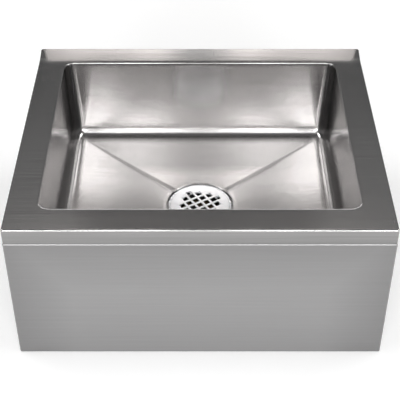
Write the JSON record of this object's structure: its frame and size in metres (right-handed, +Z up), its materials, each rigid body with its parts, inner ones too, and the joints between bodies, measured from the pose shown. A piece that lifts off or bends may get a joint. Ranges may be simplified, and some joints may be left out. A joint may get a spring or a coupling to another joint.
{
  "type": "floor-standing sink",
  "caption": "Low floor-standing stainless sink: coved bowl in a wide flat rim with a raised back edge, a skirt down to the floor, and a drain with a lift-out square-hole strainer.",
  "frame": {"origin": "on the floor, under the middle of the skirt", "axes": "+X to the right seen from the front, +Y towards the wall behind, +Z up"},
  "size_m": [0.6124, 0.5224, 0.2825],
  "materials": {
    "brushed_stainless": "brushed left to right",
    "bowl_stainless": "brushed left to right",
    "skirt_stainless": "satin",
    "mill_stainless": "dull mill finish",
    "damping_pad": "matt",
    "polished_drain": "polished",
    "black_rubber": "matt",
    "fibre": "pressed fibre, matt",
    "plain_brass": "as machined"
  },
  "bodies": {
    "sink": {"rim_deck": "brushed_stainless", "bowl": "bowl_stainless", "front_apron": "skirt_stainless", "back_panel": "skirt_stainless", "left_side_panel": "skirt_stainless", "right_side_panel": "skirt_stainless", "front_rim_channel": "mill_stainless", "left_rim_channel": "mill_stainless", "right_rim_channel": "mill_stainless", "anchor_plate_front_left": "mill_stainless", "anchor_plate_front_right": "mill_stainless", "anchor_plate_back_left": "mill_stainless", "anchor_plate_back_right": "mill_stainless", "left_sound_pad": "damping_pad", "right_sound_pad": "damping_pad", "drain_body": "polished_drain", "flange_seal": "black_rubber", "rubber_washer": "black_rubber", "fibre_washer": "fibre", "drain_locknut": "plain_brass", "compression_gasket": "black_rubber", "caulk_nut": "plain_brass"},
    "strainer": {"strainer_grid": "polished_drain"}
  },
  "joints": [
    {"name": "strainer_lift", "type": "slide", "parent": "sink", "child": "strainer", "axis": [0, 0, 1], "range_m": [0, 0.2]}
  ]
}
